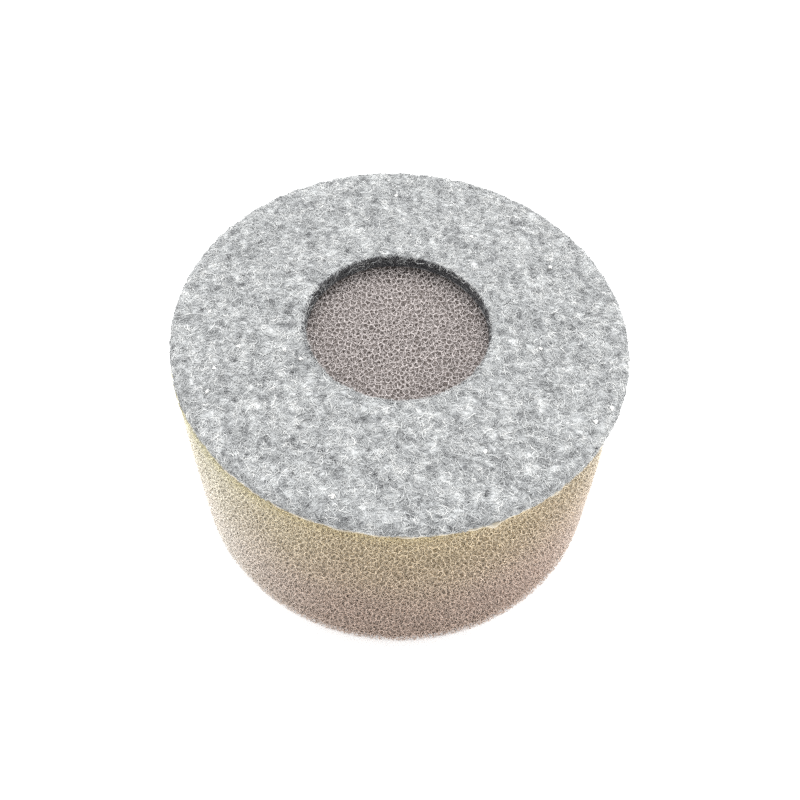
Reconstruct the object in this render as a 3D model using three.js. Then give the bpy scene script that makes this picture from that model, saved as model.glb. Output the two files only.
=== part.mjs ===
// Foam air filter element with a felt sealing ring, in millimetres, +Z up.
// The origin is the centre of the foam's bottom face, and +Z is the axis of the stack:
// foam block, then a film of contact adhesive, then the felt ring around the air hole.

import * as THREE from 'three';

// Driving dimensions
const FOAM_RADIUS = 36.4;
const FOAM_HEIGHT = 37;
const FOAM_EDGE_ROUND = 0.8;        // the cut edge of the foam that the element stands on
const FELT_OUTER_RADIUS = 36;
const AIR_HOLE_RADIUS = 14.75;
const FELT_THICKNESS = 2.5;
const FELT_OUTER_EDGE_ROUND = 0.5;  // a die leaves the felt's top edges slightly soft
const FELT_HOLE_EDGE_ROUND = 0.35;
const GLUE_THICKNESS = 0.3;
const GLUE_SETBACK = 0.25;          // the film stops short of both edges of the felt

// Heights of the faces that the pieces share
const GLUE_BASE = FOAM_HEIGHT;
const FELT_BASE = GLUE_BASE + GLUE_THICKNESS;

const SEGMENTS_AROUND = 96;
const STEPS_PER_ARC = 3;

function foamMaterial() {
  return new THREE.MeshStandardMaterial({ color: 0xa69280, roughness: 0.85, metalness: 0 });
}

function glueMaterial() {
  return new THREE.MeshStandardMaterial({ color: 0xc9b88a, roughness: 0.45, metalness: 0 });
}

function feltMaterial() {
  return new THREE.MeshStandardMaterial({ color: 0xc0c3c5, roughness: 1, metalness: 0 });
}

// Turns an outline, x as the radius and y as the height, once round the +Z axis.
function turned(name, outline, material) {
  const geometry = new THREE.LatheGeometry(outline.getPoints(STEPS_PER_ARC), SEGMENTS_AROUND);
  geometry.rotateX(Math.PI / 2);
  const mesh = new THREE.Mesh(geometry, material);
  mesh.name = name;
  return mesh;
}

// A solid cylinder of open-cell foam. The air passes through the whole of it, so it has no bore.
function foamBlock() {
  const outline = new THREE.Path();
  outline.moveTo(0, 0);
  outline.lineTo(FOAM_RADIUS - FOAM_EDGE_ROUND, 0);
  outline.absarc(FOAM_RADIUS - FOAM_EDGE_ROUND, FOAM_EDGE_ROUND, FOAM_EDGE_ROUND, -Math.PI / 2, 0);
  outline.lineTo(FOAM_RADIUS, FOAM_HEIGHT);
  outline.lineTo(0, FOAM_HEIGHT);
  return turned('foam_block', outline, foamMaterial());
}

// The film of adhesive that holds the felt to the foam.
function glueRing() {
  const inner = AIR_HOLE_RADIUS + GLUE_SETBACK;
  const outer = FELT_OUTER_RADIUS - GLUE_SETBACK;
  const outline = new THREE.Path();
  outline.moveTo(inner, 0);
  outline.lineTo(outer, 0);
  outline.lineTo(outer, GLUE_THICKNESS);
  outline.lineTo(inner, GLUE_THICKNESS);
  outline.closePath();
  const ring = turned('glue_ring', outline, glueMaterial());
  ring.position.z = GLUE_BASE;
  return ring;
}

// The felt ring that seals against the housing, with its two top edges rounded.
function feltRing() {
  const outerArc = FELT_OUTER_RADIUS - FELT_OUTER_EDGE_ROUND;
  const holeArc = AIR_HOLE_RADIUS + FELT_HOLE_EDGE_ROUND;
  const outline = new THREE.Path();
  outline.moveTo(AIR_HOLE_RADIUS, 0);
  outline.lineTo(FELT_OUTER_RADIUS, 0);
  outline.absarc(outerArc, FELT_THICKNESS - FELT_OUTER_EDGE_ROUND, FELT_OUTER_EDGE_ROUND,
    0, Math.PI / 2);
  outline.absarc(holeArc, FELT_THICKNESS - FELT_HOLE_EDGE_ROUND, FELT_HOLE_EDGE_ROUND,
    Math.PI / 2, Math.PI);
  outline.closePath();
  const ring = turned('felt_ring', outline, feltMaterial());
  ring.position.z = FELT_BASE;
  return ring;
}

const airFilter = new THREE.Group();
airFilter.add(foamBlock(), glueRing(), feltRing());

export default airFilter;
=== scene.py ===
# Foam air filter element with a felt sealing ring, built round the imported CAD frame.
import math
from itertools import combinations

import bpy
import numpy as np
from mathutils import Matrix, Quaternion, Vector


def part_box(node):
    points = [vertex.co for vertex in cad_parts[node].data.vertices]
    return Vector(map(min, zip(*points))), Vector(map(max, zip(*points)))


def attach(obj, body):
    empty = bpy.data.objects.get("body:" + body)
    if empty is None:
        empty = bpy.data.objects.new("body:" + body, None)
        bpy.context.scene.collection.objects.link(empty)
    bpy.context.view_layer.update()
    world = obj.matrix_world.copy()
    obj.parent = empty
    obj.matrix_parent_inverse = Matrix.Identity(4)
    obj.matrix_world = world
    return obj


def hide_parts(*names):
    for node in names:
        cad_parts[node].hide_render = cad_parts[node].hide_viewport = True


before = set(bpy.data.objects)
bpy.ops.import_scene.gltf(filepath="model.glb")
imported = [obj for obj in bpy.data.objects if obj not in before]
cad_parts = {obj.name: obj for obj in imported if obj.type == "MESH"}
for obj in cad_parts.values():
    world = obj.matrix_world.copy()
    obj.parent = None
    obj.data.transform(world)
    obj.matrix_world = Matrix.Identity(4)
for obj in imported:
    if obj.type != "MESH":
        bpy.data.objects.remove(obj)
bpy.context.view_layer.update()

mm = 0.001
rng = np.random.default_rng(26)
mapMargin = 0.002                # keeps every corner inside the baked map

# places and sizes, all from the frame
foamLow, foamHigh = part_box("foam_block")
feltLow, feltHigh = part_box("felt_ring")
foamTop = foamHigh.z
feltBase, feltTop = feltLow.z, feltHigh.z
foamRadius = (foamHigh.x - foamLow.x) / 2
feltRadius = (feltHigh.x - feltLow.x) / 2
holeRadius = min(math.hypot(v.co.x, v.co.y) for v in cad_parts["felt_ring"].data.vertices)


def fromHex(text):
    channels = [int(text[i:i + 2], 16) / 255 for i in (1, 3, 5)]
    return (*[c / 12.92 if c <= 0.04045 else ((c + 0.055) / 1.055) ** 2.4 for c in channels], 1.0)


# Adds one node: inputs are numbers or sockets, stops fill a colour ramp, the rest are its settings.
def addNode(tree, kind, inputs=None, stops=None, **settings):
    node = tree.nodes.new(kind)
    for name, value in settings.items():
        setattr(node, name, value)
    for name, value in (inputs or {}).items():
        if isinstance(value, bpy.types.NodeSocket):
            tree.links.new(value, node.inputs[name])
        else:
            node.inputs[name].default_value = value
    if stops:
        ramp = node.color_ramp
        while len(ramp.elements) < len(stops):
            ramp.elements.new(0.5)
        for element, (place, colour) in zip(ramp.elements, stops):
            element.position = place
            element.color = colour
    return node


def newMaterial(name):
    material = bpy.data.materials.new(name)
    material.use_nodes = True
    material.node_tree.nodes.clear()
    return material, material.node_tree


# An object from points, triangles and where each of their corners lies on the map that gets baked.
def addPiece(name, points, triangles, material, cornerMap):
    mesh = bpy.data.meshes.new(name)
    mesh.vertices.add(len(points))
    mesh.vertices.foreach_set("co", np.ascontiguousarray(points, np.float32).ravel())
    mesh.loops.add(3 * len(triangles))
    mesh.loops.foreach_set("vertex_index", np.ascontiguousarray(triangles, np.int32).ravel())
    mesh.polygons.add(len(triangles))
    mesh.polygons.foreach_set("loop_start", np.arange(0, 3 * len(triangles), 3, dtype=np.int32))
    layer = mesh.uv_layers.new(name="OFBake")
    layer.data.foreach_set("uv", np.clip(cornerMap, mapMargin, 1 - mapMargin).astype(np.float32).ravel())
    mesh.update(calc_edges=True)
    mesh.shade_smooth()
    mesh.materials.append(material)
    piece = bpy.data.objects.new(name, mesh)
    bpy.context.scene.collection.objects.link(piece)
    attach(piece, "root")
    return piece


# One number for each point of a piece, which its material reads.
def setValue(piece, name, values):
    layer = piece.data.attributes.new(name, "FLOAT", "POINT")
    layer.data.foreach_set("value", values.astype(np.float32))


# Smooth random lumps over a plane, from -1 to 1 or so, as a sum of waves of about one length.
def makeLumps(wavelength, waves=28, spread=0.35):
    length = wavelength * np.exp(rng.normal(0, spread, waves))
    turn = rng.uniform(0, 2 * np.pi, waves)
    phase = rng.uniform(0, 2 * np.pi, waves)
    kx = 2 * np.pi / length * np.cos(turn)
    ky = 2 * np.pi / length * np.sin(turn)

    def height(x, y):
        total = np.zeros(np.shape(x))
        for a, b, c in zip(kx, ky, phase):
            total += np.cos(a * x + b * y + c)
        return total * math.sqrt(2 / waves) / 2
    return height


# Round open pits side by side over a plane, like cut cells: 0 on the walls between them, 1 inside.
def makePits(pitch):
    tile = 64                    # pits before they repeat
    slope = 0.35                 # width of a wall's slope, in pitches
    jitter = rng.uniform(0.12, 0.88, (tile, tile, 2))

    def depth(x, y):
        i, j = np.floor(x / pitch).astype(int), np.floor(y / pitch).astype(int)
        nearest = np.full(np.shape(x), 9.0)
        second = np.full(np.shape(x), 9.0)
        for a in (-1, 0, 1):
            for b in (-1, 0, 1):
                place = jitter[(i + a) % tile, (j + b) % tile]
                away = np.hypot(i + a + place[..., 0] - x / pitch, j + b + place[..., 1] - y / pitch)
                second = np.minimum(second, np.maximum(nearest, away))
                nearest = np.minimum(nearest, away)
        return np.clip((second - nearest) / slope, 0, 1)
    return depth


# A closed outline of radius and height turned round the axis, where shape moves the points.
def ringGrid(outline, segments, shape):
    rows = len(outline)
    turn = np.arange(segments) / segments * 2 * np.pi
    r, t = np.meshgrid(outline[:, 0], turn, indexing="ij")
    z = np.repeat(outline[:, 1][:, None], segments, 1)
    points = shape(r, z, t).reshape(-1, 3)
    i, j = np.meshgrid(np.arange(rows), np.arange(segments), indexing="ij")
    square = np.stack([np.stack([i + a, j + b], -1) for a, b in ((0, 0), (1, 0), (1, 1), (0, 1))], -2)
    corners = square[..., [0, 2, 1, 0, 3, 2], :].reshape(-1, 3, 2)
    faces = corners[..., 0] % rows * segments + corners[..., 1] % segments
    return points, faces, (corners / (rows, segments)).reshape(-1, 2)


# Foam

foam = {
    "cell": 0.90 * mm,           # edge of a grid box, which holds two cells: shows as 30 pores an inch
    "unevenness": 0.38,          # how far the seed of a cell strays, in grid boxes
    "strut": 0.054 * mm,         # from the middle of a junction to its corners
    "depth": 1.1 * mm,           # how deep the open cells are modelled
    "blockCells": 9,             # one block of cells is made, then repeated
    "blockAxis": (0.37, 0.81, 1.13),   # and turned askew, so that its repeats miss the cuts
    "blockTurn": 0.55,
    "sectors": 14,               # pieces round the side
    "fray": 0.05 * mm,           # how unevenly the knife left the cut struts
    "leanFoot": (0.8 * mm, -0.4 * mm),   # the block stands a little askew
    "leanTop": (-0.4 * mm, -0.1 * mm),
    "swellFoot": 0.1 * mm,       # past the CAD radius, at the foot and at the top
    "swellTop": -0.15 * mm,
    "neckDepth": 0.85 * mm,      # a shallow waist that the glue pulls in under the felt
    "neckBelow": 5.5 * mm,
    "neckWidth": 5.5 * mm,
    "neckSide": -0.3,            # the way it is deepest, in radians round
    "coreLap": 0.15 * mm,        # of the open cells over the deep ones, so that no strut floats
    "coreBelow": 0.2 * mm,       # from the felt's side of the foam to the top of the deep cells
    "boreMargin": 1.3 * mm,      # how far the open cells go on under the felt round its hole
    "clogDepth": 5 * mm,         # adhesive fills the cells this near the felt
    "clogRise": 0.75 * mm,       # and by as much
    "around": 560,               # steps of the core round, up its side and in from the hole's edge
    "up": 104,
    "inwards": 50,
    "pitDepth": 0.45 * mm,       # of the deep cells and of the underside
    "slab": 0.7 * mm,            # of pitted cells on the underside
    "slabOverlap": 0.1 * mm,     # into the core
    "slabRows": 250,
    "skirt": 0.5 * mm,           # of deep cells round that slab
    "outerLight": 1.22,            # painted light: how light the outermost struts are against their colour
    "innerShade": 0.6,             # and, as painted shade, how dark the innermost are
    "innerShadeUnderHole": 0.35,       # share of that painted shade on the struts under the air hole
}

# colours of the struts at the cut faces
skin = {
    "fresh": "#b4adab",          # under the air hole
    "sideLit": "#d5cec4",           # left and right, paler as painted light from the side lamps
    "warm": "#bda99c",           # front and back, warmer in colour
    "sideLitSoaked": "#d3cfbc",     # the same two where adhesive has soaked in
    "warmSoaked": "#d1c3a5",
    "speckle": 0.24,             # how much it varies along a strut: dust and painted glints
}

# colours of the cells further in, darker than the struts as painted shade
deep = {
    "fresh": "#605854",
    "sideLit": "#8f887f",
    "warm": "#6a5e53",
    "sideLitSoaked": "#aea892",
    "warmSoaked": "#a19272",
    "speckle": 0.3,
}

stain = {
    "wander": 12 * mm,           # how far the adhesive's front strays, over patches as wide
    "trace": 14 * mm,            # height of its first trace where it strays least
    "full": 46 * mm,             # and height of its full strength there
    "clean": 16 * mm,            # the foam has none out to this radius
    "reached": 24 * mm,          # and all of it from here
    "awayFromLitSides": (0.3, -1, 0),    # the foam is warmer with distance this way and the opposite one; the paler sides between are painted light
    "warmFrom": 12 * mm,
    "warmTo": 37 * mm,
    "thick": 6 * mm,             # below the felt, where the adhesive lies thick on the struts
    "coat": "#edecdf",
}


# Where the leaning block's axis is, from 0 at its foot to 1 at its top.
def foamAxis(up):
    return [foam["leanFoot"][k] * (1 - up) + foam["leanTop"][k] * up for k in (0, 1)]


# How far a point is outside the foam's cut faces, as (side, top or bottom).
def outsideFoam(p):
    up = np.clip(p[..., 2] / foamTop, 0, 1)
    axisX, axisY = foamAxis(up)
    x, y = p[..., 0] - axisX, p[..., 1] - axisY
    below = (foamTop - foam["neckBelow"] - p[..., 2]) / foam["neckWidth"]
    neck = foam["neckDepth"] * np.exp(-below ** 2) * (1 + np.cos(np.arctan2(y, x) - foam["neckSide"]))
    swell = foam["swellFoot"] * (1 - up) + foam["swellTop"] * up
    side = np.hypot(x, y) - (foamRadius + swell - neck)
    return side, np.maximum(p[..., 2] - foamTop, foam["strut"] - p[..., 2])


# The struts of one block of foam that repeats in all three directions: the edges between the cells of
# a random packing. Each strut is the triangle at its one end and the triangle at the other.
def foamNetwork(n, unevenness, strut):
    corner = np.stack(np.meshgrid(*[np.arange(n)] * 3, indexing="ij"), -1).reshape(-1, 3)
    seeds = np.concatenate([corner, corner + 0.5]).astype(float)
    seeds += rng.uniform(-unevenness, unevenness, seeds.shape)
    shifts = np.stack(np.meshgrid(*[(-1, 0, 1)] * 3, indexing="ij"), -1).reshape(-1, 3) * n
    images = (seeds[None] + shifts[:, None]).reshape(-1, 3)
    index = np.tile(np.arange(len(seeds)), len(shifts))
    close = np.all((images > -2.5) & (images < n + 2.5), axis=1)
    images, index = images[close], index[close]
    neighbours = 24              # enough to close every cell
    many = 150                   # seeds at a time, to save memory
    tiny = 1e-9
    i, j, k = np.array(list(combinations(range(neighbours), 3))).T
    found = []
    for first in range(0, len(seeds), many):
        some = seeds[first:first + many]
        away = images[None] - some[:, None]
        order = np.argsort((away ** 2).sum(-1), axis=1)[:, 1:neighbours + 1]
        near = np.take_along_axis(away, order[..., None], 1)
        label = index[order]
        # a corner of the cell is as far from its seed as from three neighbours, and no other is nearer
        square = (near ** 2).sum(-1)
        a, b, c = near[:, i], near[:, j], near[:, k]
        bc = np.cross(b, c)
        volume = (a * bc).sum(-1)
        volume[np.abs(volume) < tiny] = tiny
        centre = square[:, i, None] * bc + square[:, j, None] * np.cross(c, a)
        centre += square[:, k, None] * np.cross(a, b)
        centre /= 2 * volume[..., None]
        reach = np.einsum("stx,snx->stn", centre, near)
        cell, triple = np.nonzero(np.all(reach <= square[:, None] / 2 + tiny, axis=-1))
        corners = centre[cell, triple]
        # two corners of a cell that share two of its neighbours are the ends of one strut
        keys = np.concatenate([(cell * neighbours + p[triple]) * neighbours + q[triple]
                               for p, q in ((i, j), (i, k), (j, k))])
        ends = np.tile(np.arange(len(cell)), 3)
        order = np.argsort(keys, kind="stable")
        keys, ends = keys[order], ends[order]
        pair = np.nonzero(keys[1:] == keys[:-1])[0]
        s = keys[pair] // neighbours ** 2
        p, q = keys[pair] // neighbours % neighbours, keys[pair] % neighbours
        once = (first + s < label[s, p]) & (first + s < label[s, q])
        pair, p, q, s = pair[once], p[once], q[once], s[once]
        around = np.stack([np.zeros((len(s), 3)), near[s, p], near[s, q]], 1)
        both = []
        for end in (ends[pair], ends[pair + 1]):
            middle = corners[end][:, None]
            toSeed = around - middle
            toSeed /= np.linalg.norm(toSeed, axis=-1, keepdims=True)
            both.append(middle + strut * toSeed + some[s][:, None])
        found.append(np.stack(both, 1))
    struts = np.concatenate(found)
    # the triangles of every strut go the same way round
    along = struts[:, 1].mean(1) - struts[:, 0].mean(1)
    facing = np.cross(struts[:, 0, 1] - struts[:, 0, 0], struts[:, 0, 2] - struts[:, 0, 0])
    wrong = (facing * along).sum(-1) < 0
    struts[wrong] = struts[wrong][:, :, ::-1]
    return struts


# Fills the skin of the foam with turned copies of the block: the side, and the disc under the air hole.
def foamStruts():
    n = foam["blockCells"]
    size = n * foam["cell"]
    block = foamNetwork(n, foam["unevenness"], foam["strut"] / foam["cell"]) * foam["cell"] - size / 2
    middle = block.mean((1, 2))
    turn = np.array(Quaternion(foam["blockAxis"], foam["blockTurn"]).to_matrix())
    centre = np.array([0, 0, foamTop / 2])
    reach = math.ceil(math.hypot(foamRadius, foamTop / 2) / size) + 1
    depth = foam["depth"]
    kept = []
    for offset in np.ndindex(*[2 * reach + 1] * 3):
        shift = (np.array(offset) - reach) * size
        place = turn @ shift + centre
        side, ends = outsideFoam(place)
        if max(side, ends) > size or max(side, ends) < -size - depth:
            continue
        m = middle @ turn.T + place
        side, ends = outsideFoam(m)
        underHole = np.hypot(m[:, 0], m[:, 1]) < holeRadius + foam["cell"]
        shows = (side > -depth) | ((m[:, 2] > foamTop - depth) & underHole)
        near = (np.maximum(side, ends) < foam["cell"]) & shows
        kept.append((block[near] + shift) @ turn.T + centre)
    return np.concatenate(kept)


# Cuts the struts off at the foam's faces, and says which ends were cut.
def trimmed(struts):
    side, flat = outsideFoam(struts.mean(2))
    uneven = rng.normal(0, foam["fray"], len(struts))[:, None]
    out = np.maximum(side + uneven, flat + np.abs(uneven))
    a, b = out[:, 0], out[:, 1]
    keep = (a < 0) | (b < 0)
    struts, a, b = struts[keep], a[keep], b[keep]
    share = (a / np.where(a == b, 1, a - b))[:, None, None]
    joint = struts[:, 0] + (struts[:, 1] - struts[:, 0]) * share
    struts[a > 0, 0] = joint[a > 0]
    struts[b > 0, 1] = joint[b > 0]
    return struts, a > 0, b > 0


# Three walls to each strut and a cap on each cut end, joined where struts share a junction's corners.
def strutMesh(struts, cutStart, cutEnd):
    points = struts.reshape(-1, 3)
    base = 6 * np.arange(len(struts))[:, None, None]
    walls = np.array([(0, 1, 4), (0, 4, 3), (1, 2, 5), (1, 5, 4), (2, 0, 3), (2, 3, 5)])
    start = base[cutStart] + np.array([[2, 1, 0]])
    end = base[cutEnd] + np.array([[3, 4, 5]])
    faces = np.concatenate([f.reshape(-1, 3) for f in (base + walls, start, end)])
    same = 0.001 * mm            # points closer than this are one
    key = np.round(points / same).astype(np.int64)
    key = (key[:, 0] << 42) + (key[:, 1] << 21) + key[:, 2]
    _, first, where = np.unique(key, return_index=True, return_inverse=True)
    faces = where[faces]
    flat = (faces[:, 0] == faces[:, 1]) | (faces[:, 1] == faces[:, 2]) | (faces[:, 2] == faces[:, 0])
    return points[first], faces[~flat]


# Reticulated polyurethane foam: the skins between its cells are burnt away, which leaves bare satin
# struts, each with a faint highlight. Adhesive soaks down from the felt and turns them straw.
def foamMaterial(name, colours):
    material, tree = newMaterial(name)
    shades = {key: fromHex(text) for key, text in colours.items() if key != "speckle"}
    place = addNode(tree, "ShaderNodeTexCoord").outputs["Object"]
    split = addNode(tree, "ShaderNodeSeparateXYZ", {"Vector": place})
    wander = addNode(tree, "ShaderNodeTexNoise",
                     {"Vector": place, "Scale": 1 / stain["wander"], "Detail": 3.0})
    height = addNode(tree, "ShaderNodeMath",
                     {0: wander.outputs["Fac"], 1: stain["wander"], 2: split.outputs["Z"]},
                     operation="MULTIPLY_ADD")
    down = addNode(tree, "ShaderNodeMapRange",
                   {"Value": height.outputs[0], "From Min": stain["trace"], "From Max": stain["full"]},
                   interpolation_type="SMOOTHSTEP")
    flat = addNode(tree, "ShaderNodeVectorMath", {0: place, 1: (1, 1, 0)}, operation="MULTIPLY")
    radius = addNode(tree, "ShaderNodeVectorMath", {0: flat.outputs[0]}, operation="LENGTH")
    outside = addNode(tree, "ShaderNodeMapRange",
                      {"Value": radius.outputs["Value"], "From Min": stain["clean"],
                       "From Max": stain["reached"]})
    soaked = addNode(tree, "ShaderNodeMath", {0: down.outputs[0], 1: outside.outputs[0]},
                     operation="MULTIPLY")
    # painted light: the sides are paler than the front and the back, as from the side lamps
    towards = addNode(tree, "ShaderNodeVectorMath", {0: place, 1: stain["awayFromLitSides"]},
                      operation="DOT_PRODUCT")
    eitherWay = addNode(tree, "ShaderNodeMath", {0: towards.outputs["Value"]}, operation="ABSOLUTE")
    awayFromLitSides = addNode(tree, "ShaderNodeMapRange",
                       {"Value": eitherWay.outputs[0], "From Min": stain["warmFrom"],
                        "From Max": stain["warmTo"]},
                       interpolation_type="SMOOTHSTEP")
    sideLitMix = addNode(tree, "ShaderNodeMix",
                   {0: awayFromLitSides.outputs[0], 6: shades["sideLit"], 7: shades["warm"]}, data_type="RGBA")
    glued = addNode(tree, "ShaderNodeMix",
                    {0: awayFromLitSides.outputs[0], 6: shades["sideLitSoaked"], 7: shades["warmSoaked"]},
                    data_type="RGBA")
    dry = addNode(tree, "ShaderNodeMix",
                  {0: outside.outputs[0], 6: shades["fresh"], 7: sideLitMix.outputs[2]}, data_type="RGBA")
    colour = addNode(tree, "ShaderNodeMix",
                     {0: soaked.outputs[0], 6: dry.outputs[2], 7: glued.outputs[2]}, data_type="RGBA")
    # next to the felt the adhesive lies thick on the struts
    near = addNode(tree, "ShaderNodeMapRange",
                   {"Value": split.outputs["Z"], "From Min": foamTop - stain["thick"], "From Max": foamTop},
                   interpolation_type="SMOOTHSTEP")
    thick = addNode(tree, "ShaderNodeMath", {0: near.outputs[0], 1: outside.outputs[0]},
                    operation="MULTIPLY")
    coated = addNode(tree, "ShaderNodeMix",
                     {0: thick.outputs[0], 6: colour.outputs[2], 7: fromHex(stain["coat"])},
                     data_type="RGBA", blend_type="MULTIPLY")
    # struts differ a little along their length, over half a cell: dust, and painted glints
    cells = addNode(tree, "ShaderNodeTexNoise",
                    {"Vector": place, "Scale": 2 / foam["cell"], "Detail": 2.0})
    shade = addNode(tree, "ShaderNodeMapRange",
                    {"Value": cells.outputs["Fac"], "From Min": 0.3, "From Max": 0.7,
                     "To Min": 1 - colours["speckle"], "To Max": 1 + colours["speckle"]})
    # painted shade: the ones further in are darker, as shade falls deeper into the open cells
    inside = addNode(tree, "ShaderNodeAttribute", attribute_name="depth")
    depthShade = addNode(tree, "ShaderNodeMapRange",
                   {"Value": inside.outputs["Fac"], "To Min": foam["outerLight"], "To Max": foam["innerShade"]})
    both = addNode(tree, "ShaderNodeMath", {0: shade.outputs[0], 1: depthShade.outputs[0]}, operation="MULTIPLY")
    final = addNode(tree, "ShaderNodeVectorMath", {0: coated.outputs[2], "Scale": both.outputs[0]},
                    operation="SCALE")
    gloss = addNode(tree, "ShaderNodeMapRange",
                    {"Value": cells.outputs["Fac"], "To Min": 0.75, "To Max": 0.45})
    surface = addNode(tree, "ShaderNodeBsdfPrincipled",
                      {"Base Color": final.outputs[0], "Roughness": gloss.outputs[0], "IOR": 1.5})
    addNode(tree, "ShaderNodeOutputMaterial", {"Surface": surface.outputs[0]})
    return material


# The open cells: pieces round the side, and one under the air hole.
def makeFoamSkin(material):
    struts, cutStart, cutEnd = trimmed(foamStruts())
    sectors = foam["sectors"]
    holePiece = holeRadius + 2 * mm
    overlap = 0.05               # of a sector, for struts that reach past its edge
    middle = struts.mean((1, 2))
    part = 0.5 + np.arctan2(middle[:, 1], middle[:, 0]) / (2 * np.pi)
    sector = np.minimum((part * sectors).astype(int), sectors - 1)
    sector[np.hypot(middle[:, 0], middle[:, 1]) < holePiece] = sectors
    for number in range(sectors + 1):
        mine = sector == number
        points, faces = strutMesh(struts[mine], cutStart[mine], cutEnd[mine])
        if number < sectors:
            name = "foam_side_%02d" % (number + 1)
            depthShadeShare = 1.0
            turn = 0.5 + np.arctan2(points[:, 1], points[:, 0]) / (2 * np.pi)
            across = (turn * sectors - number + overlap) / (1 + 2 * overlap)
            onMap = np.stack([np.clip(across, 0, 1), points[:, 2] / foamTop], -1)
        else:
            name = "foam_under_hole"
            depthShadeShare = foam["innerShadeUnderHole"]
            onMap = 0.5 + points[:, :2] / (2 * holePiece)
        piece = addPiece(name, points, faces, material, onMap[faces.ravel()])
        side, flat = outsideFoam(points)
        # how deep each point lies, which the material turns into painted shade
        setValue(piece, "depth", depthShadeShare * np.clip(-np.maximum(side, flat) / foam["depth"], 0, 1))
        print(name, len(faces), "faces")


# The cells further in, seen only as the bottom of the open ones: pits in a darker solid, its darkness
# painted shade.
def makeFoamCore(material):
    pits = makePits(foam["cell"])
    inset = foam["depth"] - foam["coreLap"]
    low, high, wide = foam["strut"], foamTop - foam["coreBelow"], foamRadius - inset
    floor, bore = foamTop - inset, holeRadius + foam["boreMargin"]
    clogged = foam["clogDepth"]
    pinhole = 0.02 * mm          # in the middle of both ends, which keeps the faces whole
    side = [(wide, z) for z in np.linspace(low, high, foam["up"])]
    disc = [(r, floor) for r in np.linspace(bore, pinhole, foam["inwards"])]
    inner = wide - foam["skirt"]
    underneath = [(pinhole, foam["slab"]), (inner, foam["slab"]), (inner, low)]
    outline = np.array(side + [(bore, high)] + disc + underneath)

    def shape(r, z, t):
        x, y = r * np.cos(t), r * np.sin(t)
        onSide = r > wide - 0.01 * mm
        onFace = np.where(onSide, pits(t * wide, z) * (z > low) * (z < high), pits(x, y))
        dip = foam["pitDepth"] * onFace
        axisX, axisY = foamAxis(z / foamTop)
        out, _ = outsideFoam(np.stack([x + axisX, y + axisY, z], -1))
        filled = foam["clogRise"] * np.clip((z - high + clogged) / clogged, 0, 1) ** 2
        r = r - np.where(onSide, out + inset - filled + dip, 0)
        z = z - np.where((z == floor) & (r < bore), dip, 0)
        return np.stack([r * np.cos(t) + axisX, r * np.sin(t) + axisY, z], -1)

    points, faces, onMap = ringGrid(outline, foam["around"], shape)
    piece = addPiece("foam_core", points, faces, material, onMap)
    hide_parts("foam_block")
    print("foam_core", len(faces), "faces")


# The cut face that the element stands on: open cells as pits in a round slab, closed by a flat back.
def makeFoamUnderside(material):
    pits = makePits(foam["cell"])
    n = foam["slabRows"]
    u, v = np.meshgrid(np.linspace(-1, 1, n), np.linspace(-1, 1, n), indexing="ij")
    # a square grid pressed into a disc, ring by ring
    ring = np.maximum(np.abs(u), np.abs(v))
    length = np.where(ring > 0, np.hypot(u, v), 1)
    reach = foamRadius + foam["swellFoot"] - foam["depth"] + foam["coreLap"] - foam["skirt"] / 2
    x = u * ring / length * reach + foam["leanFoot"][0]
    y = v * ring / length * reach + foam["leanFoot"][1]
    z = foam["pitDepth"] * pits(x, y)
    points = np.stack([x, y, z], -1).reshape(-1, 3)
    i, j = np.meshgrid(np.arange(n - 1), np.arange(n - 1), indexing="ij")
    a, b, c, d = i * n + j, i * n + j + 1, (i + 1) * n + j + 1, (i + 1) * n + j
    faces = [np.stack(three, -1).reshape(-1, 3) for three in ((a, b, c), (a, c, d))]
    # the flat back, with a wall down to the rim
    edge = np.arange(n - 1)
    rim = np.concatenate([edge, edge * n + n - 1, n * n - 1 - edge, (n - 1 - edge) * n])
    thickness = foam["slab"] + foam["slabOverlap"]
    back = points[rim] * (1, 1, 0) + (0, 0, thickness)
    behind = n * n + np.arange(len(rim))
    hub = np.full(len(rim), n * n + len(rim))
    nextRim, nextBehind = np.roll(rim, -1), np.roll(behind, -1)
    for three in ((rim, behind, nextBehind), (rim, nextBehind, nextRim), (behind, hub, nextBehind)):
        faces.append(np.stack(three, -1))
    points = np.concatenate([points, back, [(*foam["leanFoot"], thickness)]])
    faces = np.concatenate(faces)
    onMap = 0.5 + points[:, :2] / (2 * reach + 4 * mm)
    piece = addPiece("foam_underside", points, faces, material, onMap[faces.ravel()])
    print("foam_underside", len(faces), "faces")


def makeFoam():
    cutStruts = foamMaterial("reticulated polyurethane foam", skin)
    deepCells = foamMaterial("polyurethane foam, deep cells", deep)
    makeFoamCore(deepCells)
    makeFoamSkin(cutStruts)
    makeFoamUnderside(cutStruts)


# Felt

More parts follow.
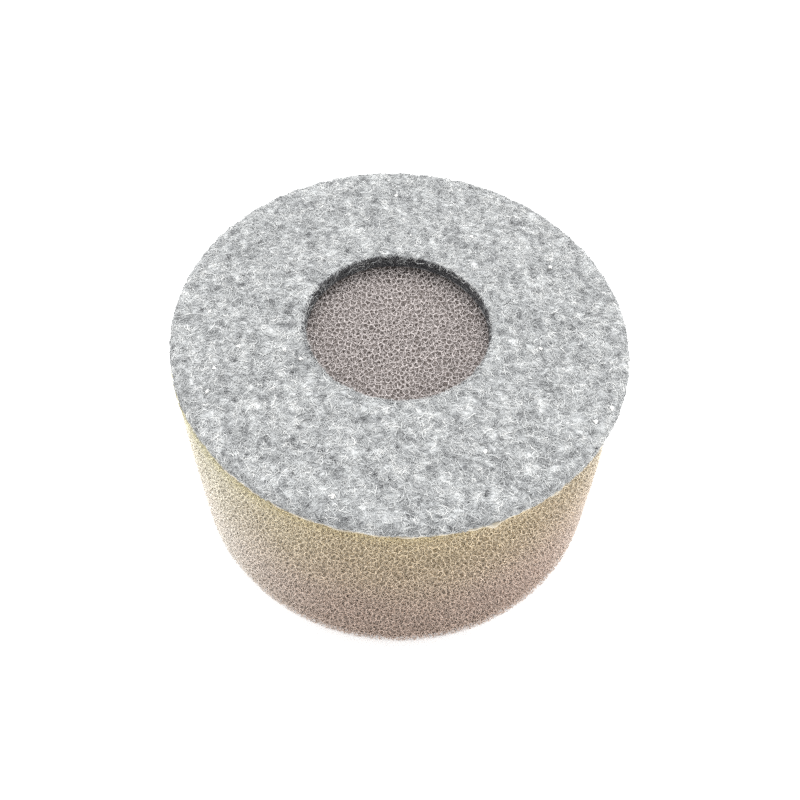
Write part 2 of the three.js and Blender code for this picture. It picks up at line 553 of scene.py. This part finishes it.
felt = {
    "fibres": 42000,
    "fibreWidth": 0.078 * mm,    # real ones are 0.03 mm: drawn coarser so that they show
    "length": (0.7 * mm, 2.2 * mm),
    "segments": 4,
    "sectors": 7,
    "topRound": 1.3 * mm,        # the die crushes the outer edge round
    "holeRound": 0.35 * mm,
    "footRound": 0.3 * mm,
    "spread": 0.3 * mm,          # how far the soft rim stands out past the die's cut
    "holeShift": (-0.55 * mm, 0.05 * mm),   # punched a little off centre
    "hairs": 900,
    "around": 560,               # steps of the dense middle round, over its skin and under it
    "over": 108,
    "under": 36,
    "tone": 0.585,               # how light it is on average, from 0 to 1
    "unlike": 0.16,              # how much the fibres differ
    "lightest": 0.92,            # fibre, and only lint is lighter
    "sink": 0.12 * mm,           # of the felt's skin below the CAD top, which leaves room for the fibres
    # specks of white lint caught in the top: degrees round, and share of the way from hole to rim
    "lint": [(-158, 0.72), (-151, 0.82), (-23, 0.96), (-29, 0.9), (-151, 0.12), (31, 0.63), (-165, 0.52),
             (-159, 0.2), (180, 0.74), (-60, 0.55), (-104, 0.85), (95, 0.7), (62, 0.4), (-8, 0.35)],
}

lumpy = makeLumps(2.4 * mm)
finer = makeLumps(0.9 * mm)
tuft = makeLumps(1.3 * mm, 40)
cloud = makeLumps(2.6 * mm, 40)
broad = makeLumps(7 * mm)
grime = makeLumps(1.8 * mm, 40)


def feltHeight(x, y):
    return (0.10 * lumpy(x, y) + 0.05 * finer(x, y)) * mm


# Where the hole's edge lies in the direction of a point, because the hole is a little off centre.
def holeReach(t):
    return holeRadius + felt["holeShift"][0] * np.cos(t) + felt["holeShift"][1] * np.sin(t)


# How light the felt is at a place, from 0 to 1: clouds of white and grey fibres, dark in the cut hole's
# wall, partly its denser cut edge and partly painted shade.
def feltTone(x, y):
    t = np.arctan2(y, x)
    tone = felt["tone"] + 0.10 * tuft(x, y) + 0.11 * cloud(x, y) + 0.08 * broad(x, y)
    tone -= 0.35 * np.maximum(grime(x, y) - 0.45, 0)
    # the hole's wall is darker: partly its denser cut edge, partly painted shade
    edge, fade = 0.15 * mm, 0.5 * mm
    return tone - 0.75 * np.clip((holeReach(t) + edge - np.hypot(x, y)) / fade, 0, 1)


# The felt's skin unrolled flat: over the top, round its edges and down its rim and its hole's wall.
def onFelt(x, y, lift):
    t = np.arctan2(y, x)
    r = np.hypot(x, y)
    hole = holeReach(t)
    outer = feltRadius + felt["spread"]
    rise = feltHeight(x, y) - felt["sink"] + lift
    rimTurn = np.clip((r - outer + felt["topRound"]) / felt["topRound"], 0, math.pi / 2)
    holeTurn = np.clip((hole + felt["holeRound"] - r) / felt["holeRound"], 0, math.pi / 2)
    rimDrop = np.maximum(r - outer + felt["topRound"] * (1 - math.pi / 2), 0)
    holeDrop = np.maximum(hole + felt["holeRound"] * (1 - math.pi / 2) - r, 0)
    reach = np.clip(r, hole + felt["holeRound"], outer - felt["topRound"])
    reach += (felt["topRound"] + rise) * np.sin(rimTurn) * (rimTurn > 0)
    reach -= (felt["holeRound"] + rise) * np.sin(holeTurn) * (holeTurn > 0)
    height = feltTop - felt["topRound"] * (1 - np.cos(rimTurn)) - felt["holeRound"] * (1 - np.cos(holeTurn))
    height += rise * np.cos(rimTurn) * np.cos(holeTurn) - rimDrop - holeDrop
    # the glued foot of the rim is drawn in
    foot = np.clip((feltBase + felt["footRound"] - height) / felt["footRound"], 0, 1)
    reach -= foot ** 2 * 0.5 * felt["footRound"] * (rimTurn > 0)
    return np.stack([reach * np.cos(t), reach * np.sin(t), height], -1)


# The dense middle of the felt, which shows between the fibres.
def makeFeltBody(material):
    outer = feltRadius + felt["spread"]
    drop = feltTop - feltBase - 0.15 * mm
    topLength = felt["topRound"] * (math.pi / 2 - 1)
    holeLength = felt["holeRound"] * (math.pi / 2 - 1)
    end = outer - holeRadius + drop + topLength - 0.8 * mm
    across = np.linspace(-drop - holeLength, end, felt["over"])
    base = np.linspace(outer - 0.3 * mm, holeRadius + 0.1 * mm, felt["under"])
    outline = np.array([(holeRadius + a, 1.0) for a in across] + [(r, 0.0) for r in base])
    segments = felt["around"]

    # the outline's height only says which side a point is on: 1 for the skin, 0 for the flat base
    def shape(r, z, t):
        hole = holeReach(t)
        spread = r + (hole - holeRadius) * np.clip((feltRadius - r) / (feltRadius - holeRadius), 0, 1)
        top = onFelt(spread * np.cos(t), spread * np.sin(t), -0.05 * mm)
        top[..., 2] = np.maximum(top[..., 2], feltBase + 0.02 * mm)
        low = spread + 0.08 * mm * lumpy(t * feltRadius, r * 3)
        under = np.stack([low * np.cos(t), low * np.sin(t), np.full(r.shape, feltBase)], -1)
        return np.where(z[..., None] > 0.5, top, under)

    points, faces, onMap = ringGrid(outline, segments, shape)
    onMap = onMap.reshape(-1, 3, 2)[:, ::-1].reshape(-1, 2)
    body = addPiece("felt_body", points, faces[:, ::-1], material, onMap)
    reach = np.repeat(outline[:, 0], segments)
    turn = np.tile(np.arange(segments) / segments * 2 * np.pi, len(outline))
    tone = feltTone(reach * np.cos(turn), reach * np.sin(turn)) - 0.12
    setValue(body, "tone", np.clip(tone, 0, felt["lightest"]))
    print("felt_body", len(faces), "faces")
    return body


# Three-sided tubes along many paths at once. Each has one tone, which is also its place on the map.
def addTubes(name, paths, radius, tone, material):
    tubes, count, _ = paths.shape
    along = np.gradient(paths, axis=1)
    along /= np.linalg.norm(along, axis=-1, keepdims=True) + 1e-12
    one = np.cross(along, rng.normal(size=(tubes, 1, 3)))
    one /= np.linalg.norm(one, axis=-1, keepdims=True) + 1e-12
    two = np.cross(along, one)
    taper = np.ones(count)
    taper[[0, -1]] = 0.5
    girth = radius[:, None, None] * taper[None, :, None]
    corners = [paths + girth * (math.cos(a) * one + math.sin(a) * two)
               for a in (0, 2 * math.pi / 3, 4 * math.pi / 3)]
    points = np.stack(corners, 2).reshape(-1, 3)
    walls = []
    for ring in range(count - 1):
        low, high = 3 * ring, 3 * ring + 3
        for p, q in ((0, 1), (1, 2), (2, 0)):
            walls += [(low + p, low + q, high + q), (low + p, high + q, high + p)]
    last = 3 * (count - 1)
    walls += [(2, 1, 0), (last, last + 1, last + 2)]
    faces = ((np.arange(tubes) * count * 3)[:, None, None] + np.array(walls)).reshape(-1, 3)
    onMap = np.empty((tubes, count, 3, 2))
    onMap[..., 0] = tone[:, None, None] + np.array([0, 0.005, 0.01])
    onMap[..., 1] = np.linspace(0, 1, count)[:, None]
    piece = addPiece(name, points, faces, material, onMap.reshape(-1, 2)[faces.ravel()])
    setValue(piece, "tone", np.repeat(tone, 3 * count))
    print(name, len(faces), "faces")
    return piece


# Needled felt of mixed white and grey polyester and wool: matt, with a soft bloom of light at its edges.
def feltMaterial(name, grain):
    material, tree = newMaterial(name)
    value = addNode(tree, "ShaderNodeAttribute", attribute_name="tone").outputs["Fac"]
    if grain:
        place = addNode(tree, "ShaderNodeTexCoord").outputs["Object"]
        noise = addNode(tree, "ShaderNodeTexNoise",
                        {"Vector": place, "Scale": 1 / (0.5 * mm), "Detail": 4.0, "Roughness": 0.7})
        centred = addNode(tree, "ShaderNodeMath", {0: noise.outputs["Fac"], 1: 0.5}, operation="SUBTRACT")
        grainy = addNode(tree, "ShaderNodeMath", {0: centred.outputs[0], 1: grain, 2: value},
                         operation="MULTIPLY_ADD")
        value = grainy.outputs[0]
    ramp = addNode(tree, "ShaderNodeValToRGB", {"Fac": value},
                   stops=[(0.0, fromHex("#26262a")), (0.35, fromHex("#8d8f90")), (0.7, fromHex("#bcbebe")),
                          (0.92, fromHex("#d8d8d6")), (0.97, fromHex("#fcfbf8"))])
    surface = addNode(tree, "ShaderNodeBsdfPrincipled",
                      {"Base Color": ramp.outputs["Color"], "Roughness": 0.9, "Sheen Weight": 0.25,
                       "Sheen Roughness": 0.5})
    addNode(tree, "ShaderNodeOutputMaterial", {"Surface": surface.outputs[0]})
    return material


# Curled paths round the given middles, as x, y and the distance along from -0.5 to 0.5.
def curls(x, y, length, bend, wiggle, steps):
    n = len(x)
    s = np.linspace(-0.5, 0.5, steps)[None]
    heading = rng.uniform(0, 2 * np.pi, n)[:, None] + rng.normal(0, bend, n)[:, None] * s
    wave = rng.normal(0, wiggle, n)[:, None]
    heading = heading + wave * np.sin(2 * np.pi * (s + rng.uniform(0, 1, n)[:, None]))
    step = (length / (steps - 1))[:, None]
    dx, dy = np.cumsum(np.cos(heading) * step, 1), np.cumsum(np.sin(heading) * step, 1)
    return x[:, None] + dx - dx.mean(1, keepdims=True), y[:, None] + dy - dy.mean(1, keepdims=True), s


def makeFibres(material):
    n = felt["fibres"]
    drop = feltTop - feltBase
    r = np.sqrt(rng.uniform((holeRadius - drop) ** 2, (feltRadius + drop) ** 2, n))
    t = rng.uniform(-np.pi, np.pi, n)
    length = rng.uniform(*felt["length"], n)
    x, y, s = curls(r * np.cos(t), r * np.sin(t), length, 1.6, 1.0, felt["segments"] + 1)
    arch = rng.uniform(0, 0.16, n)[:, None] * (1 - (2 * s) ** 2)
    lift = (arch + rng.uniform(-0.04, 0.12, n)[:, None]) * mm
    paths = onFelt(x, y, lift)
    tone = feltTone(x.mean(1), y.mean(1)) + rng.normal(0, felt["unlike"], n)
    width = felt["fibreWidth"] / 2 * rng.uniform(0.7, 1.3, n)
    inside = paths[..., 2].min(1) > feltBase - 0.05 * mm
    sector = ((t + np.pi) / (2 * np.pi) * felt["sectors"]).astype(int)
    pieces = []
    for number in range(felt["sectors"]):
        mine = inside & (sector == number)
        shades = np.clip(tone[mine], 0.01, felt["lightest"])
        name = "felt_fibres_%d" % (number + 1)
        pieces.append(addTubes(name, paths[mine], width[mine], shades, material))
    return pieces


# Loose hairs that stand off the felt, most of them round its two cut edges.
def makeHairs(material):
    n = felt["hairs"]
    third = n // 3
    r = np.concatenate([rng.uniform(holeRadius - 1.2 * mm, holeRadius + 0.5 * mm, third),
                        rng.uniform(feltRadius - 0.8 * mm, feltRadius + 2.0 * mm, n - 2 * third),
                        np.sqrt(rng.uniform(holeRadius ** 2, feltRadius ** 2, third))])
    t = rng.uniform(-np.pi, np.pi, n)
    x, y, s = curls(r * np.cos(t), r * np.sin(t), rng.uniform(1.2, 3.0, n) * mm, 1.2, 0.8, 7)
    paths = onFelt(x, y, (0.05 + rng.uniform(0.15, 0.6, n)[:, None] * (s + 0.5) ** 1.5) * mm)
    inside = paths[..., 2].min(1) > feltBase
    tone = np.clip(rng.normal(0.72, 0.15, n), 0.2, felt["lightest"])
    return addTubes("felt_loose_hairs", paths[inside], np.full(inside.sum(), 0.3 * felt["fibreWidth"]),
                    tone[inside], material)


# Specks of white lint, each a tight tangle.
def makeLint(material):
    turn, share = np.array(felt["lint"]).T
    each = 14                    # fibres in a tangle
    turn = np.repeat(np.radians(turn), each)
    r = np.repeat(holeRadius + share * (feltRadius - holeRadius), each)
    size = np.repeat(rng.uniform(0.06, 0.17, len(share)), each) * mm
    n = len(r)
    cx = r * np.cos(turn) + rng.normal(0, 1, n) * size
    cy = r * np.sin(turn) + rng.normal(0, 1, n) * size
    x, y, s = curls(cx, cy, rng.uniform(0.3, 0.7, n) * mm, 2.5, 1.5, 6)
    paths = onFelt(x, y, (0.16 + rng.uniform(0, 0.14, n)[:, None] * np.cos(3 * s)) * mm)
    return addTubes("felt_lint", paths, np.full(n, 0.55 * felt["fibreWidth"]), np.full(n, 0.985), material)


def makeFelt():
    body = makeFeltBody(feltMaterial("needled felt", 0.5))
    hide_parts("felt_ring")
    strands = feltMaterial("felt fibres", 0)
    pieces = makeFibres(strands) + [makeHairs(strands), makeLint(strands)]


# Glue

glue = {
    "wander": 0.25 * mm,         # of its edge in and out of the felt's rim
    "lap": 2 * mm,               # width of the band that wanders
    "bulge": 0.12 * mm,          # of that edge, halfway up
    "around": 720,               # steps round
    "holeSetback": 1.2 * mm,     # from the hole's edge
    "blobTurn": -66,             # degrees round, where a drop was squeezed out
    "blobSize": 0.9 * mm,
    "blobOut": 0.5 * mm,
}


# Contact adhesive, dried: a thin rubbery film, straw to grey, smooth and a little glossy.
def glueMaterial():
    material, tree = newMaterial("dried contact adhesive")
    place = addNode(tree, "ShaderNodeTexCoord").outputs["Object"]
    patches = addNode(tree, "ShaderNodeTexNoise",
                      {"Vector": place, "Scale": 1 / (2.5 * mm), "Detail": 4.0})
    ramp = addNode(tree, "ShaderNodeValToRGB", {"Fac": patches.outputs["Fac"]},
                   stops=[(0.3, fromHex("#958b78")), (0.7, fromHex("#c4bba8"))])
    gloss = addNode(tree, "ShaderNodeMapRange",
                    {"Value": patches.outputs["Fac"], "To Min": 0.3, "To Max": 0.6})
    surface = addNode(tree, "ShaderNodeBsdfPrincipled",
                      {"Base Color": ramp.outputs["Color"], "Roughness": gloss.outputs[0], "IOR": 1.5})
    addNode(tree, "ShaderNodeOutputMaterial", {"Surface": surface.outputs[0]})
    return material


def makeGlue():
    wave = makeLumps(5 * mm)
    inner, outer, lap = holeRadius + glue["holeSetback"], feltRadius, glue["lap"]
    # it sinks into the foam and into the felt
    low, high = foamTop - 0.12 * mm, feltBase + 0.06 * mm
    outline = np.array([(inner, low)] + [(r, low) for r in np.linspace(outer - lap, outer, 6)]
                       + [(outer + glue["bulge"], (low + high) / 2)]
                       + [(r, high) for r in np.linspace(outer, outer - lap, 6)] + [(inner, high)])
    blob = math.radians(glue["blobTurn"])

    def shape(r, z, t):
        edge = np.clip((r - outer + lap) / lap, 0, 1)
        drop = np.exp(-((t - blob % (2 * np.pi)) * feltRadius / glue["blobSize"]) ** 2) * edge ** 3
        r = r + edge * glue["wander"] * wave(t * feltRadius, 0 * t) + drop * glue["blobOut"]
        z = z - np.where(z < (low + high) / 2, 0.3 * mm, 0) * drop
        return np.stack([r * np.cos(t), r * np.sin(t), z], -1)

    points, faces, onMap = ringGrid(outline, glue["around"], shape)
    piece = addPiece("glue_line", points, faces, glueMaterial(), onMap)
    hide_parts("glue_ring")
    print("glue_line", len(faces), "faces")


# Studio

camera = {
    "distance": 144.9 * mm,      # to the middle of the felt's top
    "elevation": 49.8,           # degrees
    "lens": 41.0,                # millimetres
    "aimSide": 0.6 * mm,
    "aimDrop": 20.74 * mm,       # below the felt's top
    "roll": 4.23,                # degrees
}

# place, size and power of each soft light, in metres and watts
lights = {
    "softbox over the back": ((0.0, 0.25, 0.55), 0.5, 4.0),
    "left panel": ((-0.5, 0.1, 0.1), 0.4, 2.0),
    "right panel": ((0.5, 0.1, 0.1), 0.4, 2.0),
}


def makeCamera():
    rise = math.radians(camera["elevation"])
    place = Vector((0, -math.cos(rise), math.sin(rise))) * camera["distance"] + Vector((0, 0, feltTop))
    aim = Vector((camera["aimSide"], 0, feltTop - camera["aimDrop"]))
    data = bpy.data.cameras.new("camera")
    data.lens = camera["lens"]
    data.sensor_width = 36
    data.clip_start = 1 * mm
    holder = bpy.data.objects.new("camera", data)
    holder.location = place
    holder.rotation_mode = "QUATERNION"
    holder.rotation_quaternion = ((aim - place).to_track_quat("-Z", "Y")
                                  @ Quaternion((0, 0, 1), math.radians(camera["roll"])))
    bpy.context.scene.collection.objects.link(holder)
    bpy.context.scene.camera = holder


def makeStudio():
    scene = bpy.context.scene
    scene.view_settings.view_transform = "Standard"
    scene.view_settings.look = "None"
    scene.cycles.use_denoising = False
    world = bpy.data.worlds.new("studio")
    scene.world = world
    world.use_nodes = True
    sky = world.node_tree.nodes["Background"]
    sky.inputs["Color"].default_value = fromHex("#ffffff")
    sky.inputs["Strength"].default_value = 1.5
    for name, (place, size, power) in lights.items():
        data = bpy.data.lights.new(name, "AREA")
        data.size = size
        data.energy = power
        lamp = bpy.data.objects.new(name, data)
        lamp.location = place
        lamp.rotation_mode = "QUATERNION"
        aim = Vector((0, 0, 0.02)) - Vector(place)
        lamp.rotation_quaternion = aim.to_track_quat("-Z", "Y")
        scene.collection.objects.link(lamp)
    # matt white paper, which throws soft light back up the foam
    material, tree = newMaterial("white paper")
    surface = addNode(tree, "ShaderNodeBsdfPrincipled",
                      {"Base Color": fromHex("#fafafa"), "Roughness": 0.9})
    addNode(tree, "ShaderNodeOutputMaterial", {"Surface": surface.outputs[0]})
    half = 1.5
    mesh = bpy.data.meshes.new("floor")
    corners = [(-half, -half, 0), (half, -half, 0), (half, half, 0), (-half, half, 0)]
    mesh.from_pydata(corners, [], [(0, 1, 2, 3)])
    mesh.materials.append(material)
    floor = bpy.data.objects.new("floor", mesh)
    floor.location.z = -0.02 * mm    # clear of the foam's foot
    scene.collection.objects.link(floor)


makeCamera()
makeStudio()
print("studio ready")
makeFoam()
makeGlue()
makeFelt()
